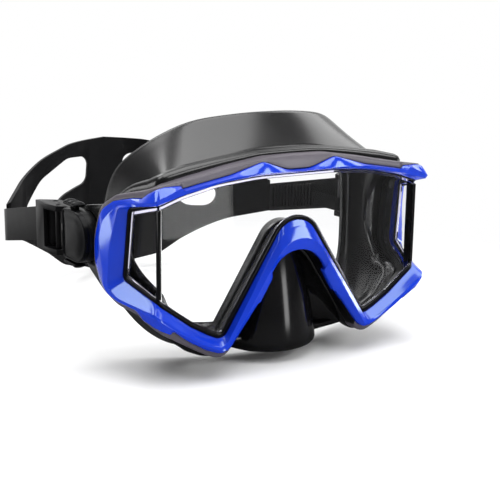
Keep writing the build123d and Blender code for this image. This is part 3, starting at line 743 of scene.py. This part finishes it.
for piece, mat in ((bead, SKIRT), (ring, SKIRT), (nose, POCKET)):
    dress(piece, mat)
    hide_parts("skirt")

# ---------------------------------------------------------------- glass, posts, strap and buckles
# rows of a cap: how far each lies inside the cap's outline, and its share of the height
CAP_PROFILE = (
    (0.0, 0.0), (0.0, 0.38), (0.12, 0.46), (0.35, 0.5), (0.75, 0.5), (0.95, 0.42), (1.7, 0.41), (3.2, 0.5),
    (5.2, 0.58), (7.6, 0.62),
)
CAP_ARC, CORNER_ARC = 24, 8               # steps of its front, from the tip, and of a rear corner
CAP_CORNER, CAP_LEAST = 2.6, 0.6          # radius of the rear corners, and the least on an inner row
CAP_REAR = 0.8                            # how much of the distance inside the outline the rear edge takes


def dome_cap(side):
    """The buckle's cap: round in front, square behind, with a raised rim and a low dome."""
    low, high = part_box(f"{side}_buckle_cap")
    radius, middle = (high.z - low.z) / 2 / MM, (high.z + low.z) / 2 / MM
    front, rear = low.y / MM, high.y / MM
    way = 1 if high.x > 0 else -1
    foot, rise = (low.x if way > 0 else -high.x) / MM, (high.x - low.x) / MM
    rows = []
    for inside, up in CAP_PROFILE:
        r, back, corner = radius - inside, rear - inside * CAP_REAR, max(CAP_CORNER - inside, CAP_LEAST)
        half = []
        for k in range(CAP_ARC + 1):
            t = k * pi / (2 * CAP_ARC)
            half.append((front + radius - r * cos(t), r * sin(t)))
        for k in range(CORNER_ARC + 1):
            t = k * pi / (2 * CORNER_ARC)
            half.append((back - corner + corner * sin(t), r - corner + corner * cos(t)))
        line = half + [(y, -z) for y, z in half[::-1]][:-1]
        rows.append([Vector((way * (foot + rise * up), y, middle + z)) * MM for y, z in line])
    piece = skin(f"{side}_cap_dome", rows, f"{side}_buckle", closed=False)
    close_ends(piece)
    sharpen(piece, CAP_SHARP)
    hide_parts(f"{side}_buckle_cap")
    return piece


HEAD_TALL = 2.8                           # what a button's head takes of its height, in mm
HEAD_CLEAR = 0.3                          # the gap that keeps a pressed head off the buckle
HEAD_ROWS, HEAD_ARC = 36, 16              # steps along a head, and across it
LOBES = 3
LOBE_LOW, LOBE_RISE = 0.5, 1.3            # height of a head between its lobes, and of a lobe over that, in mm
LOBE_NARROW, LOBE_SPREAD = 0.78, 0.22     # the same for its width, as shares of the button's
HEAD_END, HEAD_FOOT = 0.8, 0.9            # what is left of its width at its ends, and at its foot
STUMP_FROM, STUMP = 0.2, 0.35             # mm over the foot where the CAD's head shrinks, and its share left


def knob(side, name):
    """A release button: the CAD's stem cut short, and a head with three grip lobes. Returns the head."""
    node = f"{side}_{name}_button"
    low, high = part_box(node)
    way, top = (1, high.z) if name == "upper" else (-1, low.z)
    foot = top - way * HEAD_TALL * MM
    stem = softened(node, 0.25)
    for v in stem.data.vertices:
        if (v.co.z - foot) * way > STUMP_FROM * MM:
            v.co.z = foot + (v.co.z - foot) * STUMP
    dress(stem, BUCKLE)
    x_mid, x_half = (low.x + high.x) / 2, (high.x - low.x) / 2
    rows = []
    for k in range(HEAD_ROWS + 1):
        t = k / HEAD_ROWS
        y = low.y + (high.y - low.y) * t
        lobe = abs(sin(t * LOBES * pi)) ** 0.6
        rise = (LOBE_LOW + LOBE_RISE * lobe) * MM
        wide = x_half * (LOBE_NARROW + LOBE_SPREAD * lobe) * (HEAD_END if k in (0, HEAD_ROWS) else 1)
        row = []
        for c in range(HEAD_ARC + 1):
            a = pi * c / HEAD_ARC
            z = foot + way * (HEAD_CLEAR * MM + rise * sin(a) ** 0.5)
            row.append(Vector((x_mid + wide * cos(a), y, z)))
        row += [Vector((x_mid + k * wide * HEAD_FOOT, y, foot)) for k in (-1, 1)]
        rows.append(row)
    head = skin(f"{side}_{name}_knob", rows, frame["nodes"][node]["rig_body"], closed=False)
    close_ends(head)
    sharpen(head, HEAD_SHARP)
    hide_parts(node)
    return head


EAR_START, EAR_TIP = -20, 0.75            # y from where an ear gets lower, and the share left at its tip


def tapered_ear(side):
    """A strap ear that gets lower towards its front end, to tuck in behind the bead."""
    low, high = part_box(f"{side}_strap_ear")
    middle = (low.z + high.z) / 2
    piece = softened(f"{side}_strap_ear", 0.6, 3)
    tip = min(v.co.y for v in piece.data.vertices)
    for v in piece.data.vertices:
        if v.co.y < EAR_START * MM:
            way = (v.co.y - EAR_START * MM) / (tip - EAR_START * MM)
            v.co.z = middle + (v.co.z - middle) * (1 - (1 - EAR_TIP) * way)
    return piece


for node in ("front_glass", "left_side_glass", "right_side_glass"):
    dress(frame["nodes"][node], GLASS)
for side in ("left", "right"):
    dress(softened(f"{side}_lens_post", 0.2), SEAL)
    dress(tapered_ear(side), SKIRT)
    dress(softened(f"{side}_pivot_pin", 0.3), PIN)
    dress(softened(f"{side}_buckle_body", 0.3), BUCKLE)
    dress(dome_cap(side), CAP)
    dress(softened(f"{side}_strap_roller", 0.2), PIN)
    dress(softened(f"{side}_strap_pawl", 0.2), BUCKLE)
    for name in ("upper", "lower"):
        dress(knob(side, name), CAP)
        dress(frame["nodes"][f"{side}_{name}_spring"], STEEL)
dress(softened("strap", 0.45, 3, 40), STRAP)

# ---------------------------------------------------------------- the stage
# The floor fades to white, and the world is white, for rays from the camera or through glass or mirrored.
# On the side that the photograph was taken from, the room is dark in what the object mirrors, so that
# the blacks stay black. All of this is fixed to the object's own frame.
AWAY = Vector((0.54, 0.83, 0))            # level, from the camera past the mask
FADE = (0.09, 0.27)                       # metres from the origin over which the floor fades to white
NEAR_SIDE = (-0.25, 0.05)                 # metres along -AWAY over which its reflection gets dark
BACKDROP = (0.35, 0.8)                    # share of AWAY in a direction over which reflections get white
ROOM = 0.15                               # the world's light on things
DARK_FLOOR = 0.12                         # the floor's colour where its reflection is dark
CLIMB = 0.12                              # how much higher than level the backdrop's middle is
FLOOR_SIZE, FLOOR_GAP = 30, 0.0005        # metres across, and under the lowest point
scene = bpy.context.scene


def seen_rays(tree, gloss=None):
    """1 for a ray from the camera, through glass or mirrored, else 0. gloss weighs the mirrored rays."""
    rays = add_node(tree, "LightPath", {}).outputs
    direct = maths(tree, "MAXIMUM", rays["Is Camera Ray"], rays["Is Transmission Ray"])
    mirrored = rays["Is Glossy Ray"]
    if gloss:
        mirrored = maths(tree, "MULTIPLY", mirrored, gloss)
    return maths(tree, "MAXIMUM", direct, mirrored)


def along(tree, coords, direction):
    """How far coords reach in a fixed direction."""
    return add_node(tree, "VectorMath", {0: coords, 1: direction}, operation="DOT_PRODUCT").outputs["Value"]


def floor_material():
    mat, tree, bsdf = shader("floor_pale", (0.94, 0.94, 0.94), 0.85, 0.1)
    finish_surface(tree, bsdf, 0.003, 0.05, [(12, 0.01, 0.001)])
    coords = object_coords(tree)
    distance = add_node(tree, "VectorMath", {0: coords}, operation="LENGTH").outputs["Value"]
    faded = maths(tree, "MULTIPLY", step(tree, distance, *FADE), seen_rays(tree))
    white = add_node(tree, "Emission", {"Color": (1, 1, 1, 1), "Strength": 1.0}).outputs[0]
    pale = blend_shaders(tree, faded, bsdf.outputs[0], white)
    # a ray through glass counts as glossy too, so a mirrored one is glossy and not transmitted
    rays = add_node(tree, "LightPath", {}).outputs
    mirrored = maths(tree, "SUBTRACT", rays["Is Glossy Ray"], rays["Is Transmission Ray"], clamp=True)
    near = step(tree, along(tree, coords, -AWAY), *NEAR_SIDE)
    dark = add_node(tree, "BsdfDiffuse", {"Color": (DARK_FLOOR, DARK_FLOOR, DARK_FLOOR, 1)}).outputs[0]
    show(tree, blend_shaders(tree, maths(tree, "MULTIPLY", near, mirrored), pale, dark))
    return mat


def studio_world():
    world = bpy.data.worlds.new("studio")
    world.use_nodes = True
    tree = world.node_tree
    sky = tree.nodes["Background"]
    sky.inputs["Color"].default_value = (1, 1, 1, 1)
    way = add_node(tree, "TexCoord", {}).outputs["Generated"]
    behind = step(tree, along(tree, way, AWAY + Vector((0, 0, CLIMB))), *BACKDROP)
    levels = {"Value": seen_rays(tree, behind), "To Min": ROOM, "To Max": 1.0}
    tree.links.new(add_node(tree, "MapRange", levels).outputs["Result"], sky.inputs["Strength"])
    return world


bpy.ops.mesh.primitive_plane_add(size=FLOOR_SIZE, location=(0, 0, cad_box[0].z - FLOOR_GAP))
floor = bpy.context.object
floor.name = "floor"
floor.data.materials.append(floor_material())
scene.world = studio_world()

# ---------------------------------------------------------------- lamps and camera
# each lamp's name, direction and height in degrees, distance in metres, size in degrees, and radiance
LAMPS = (
    ("softbox_front", 38, 30, 1.1, 42, 16, 6.0),
    ("softbox_left", -99, 53, 1.1, 34, 24, 4.5),
    ("softbox_right", 96, 42, 1.1, 22, 30, 3.3),
    ("softbox_top", 10, 81, 1.1, 46, 56, 4.0),
    ("softbox_back", -172, 46, 1.1, 24, 24, 4.5),
    ("softbox_low", -113, 5, 0.6, 17, 18, 4.2),
    ("softbox_low_front", 17, -5, 0.3, 9, 11, 6.0),
    ("softbox_low_right", 72, -5, 0.3, 22, 11, 9.0),
)


def softbox(name, turn, climb, away, wide, tall, radiance):
    """A soft lamp `away` metres from the mask, `wide` by `tall` degrees as the mask sees it.

    turn runs from the front (0) to the wearer's left (90), climb is its height over the horizon.
    """
    turn, climb = radians(turn), radians(climb)
    place = Vector((sin(turn) * cos(climb), -cos(turn) * cos(climb), sin(climb))) * away
    light = bpy.data.lights.new(name, "AREA")
    light.shape = "RECTANGLE"
    light.size, light.size_y = 2 * away * tan(radians(wide) / 2), 2 * away * tan(radians(tall) / 2)
    light.energy = radiance * pi * light.size * light.size_y
    lamp = bpy.data.objects.new(name, light)
    lamp.location = place
    lamp.rotation_euler = (-place).to_track_quat("-Z", "Y").to_euler()
    lamp.visible_camera = False
    scene.collection.objects.link(lamp)


for lamp in LAMPS:
    softbox(*lamp)

# the camera stands where the photograph was taken from, in the mask's own frame
EYE = Vector((-0.26559, -0.42506, 0.10094))
RIGHT = Vector((0.84023655, -0.54206288, 0.01305265))
UP = Vector((0.11127131, 0.19593888, 0.97428263))
AHEAD = Vector((0.53067997, 0.8171755, -0.22495105))
SENSOR, LENS = 36, 77.84                  # mm, which give the photograph's angle of view
optics = bpy.data.cameras.new("camera")
optics.sensor_width = SENSOR
optics.lens = LENS
optics.clip_start = 0.01
camera = bpy.data.objects.new("camera", optics)
turned = Matrix((RIGHT, UP, -AHEAD)).transposed().to_4x4()
turned.translation = EYE
camera.matrix_world = turned
scene.collection.objects.link(camera)
scene.camera = camera
scene.view_settings.view_transform = "Standard"
